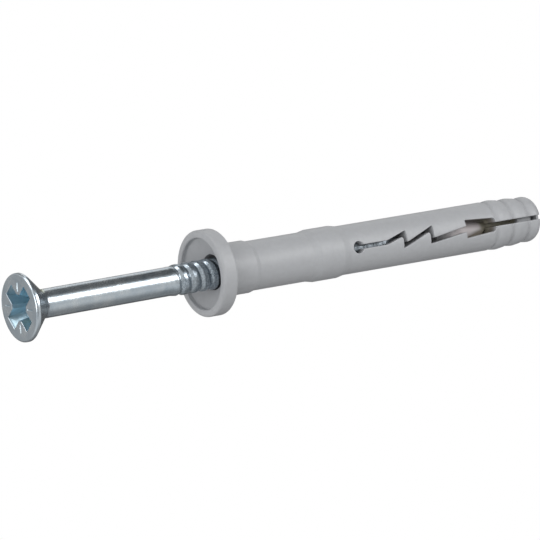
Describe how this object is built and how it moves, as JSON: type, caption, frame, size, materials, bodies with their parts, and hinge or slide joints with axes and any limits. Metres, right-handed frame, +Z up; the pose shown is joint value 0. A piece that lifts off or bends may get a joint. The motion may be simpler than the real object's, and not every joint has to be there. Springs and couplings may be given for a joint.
{
  "type": "hammer fixing plug",
  "caption": "Hammer fixing: slotted nylon sleeve with a collar and barbed tip, and a countersunk steel hammer screw part way in, standing on the screw's head.",
  "frame": {"origin": "middle of the plug's box in plan, on the surface that the screw's head stands on", "axes": "+Z up along the screw, from its head to the sleeve's barbed tip; the slot faces -Y; the sleeve leans 0.45 degrees on the screw, mostly towards +X"},
  "size_m": [0.0128, 0.0128, 0.0907],
  "materials": {
    "grey_nylon": "mid grey moulded nylon, satin, with a faint moulded grain",
    "zinc_plated_steel": "bright blue-passivated zinc plate, faintly mottled, with a yellow-green tint where the head meets the shank"
  },
  "bodies": {
    "root": {"plug_sleeve": "grey_nylon", "nail_screw": "zinc_plated_steel"}
  },
  "joints": []
}
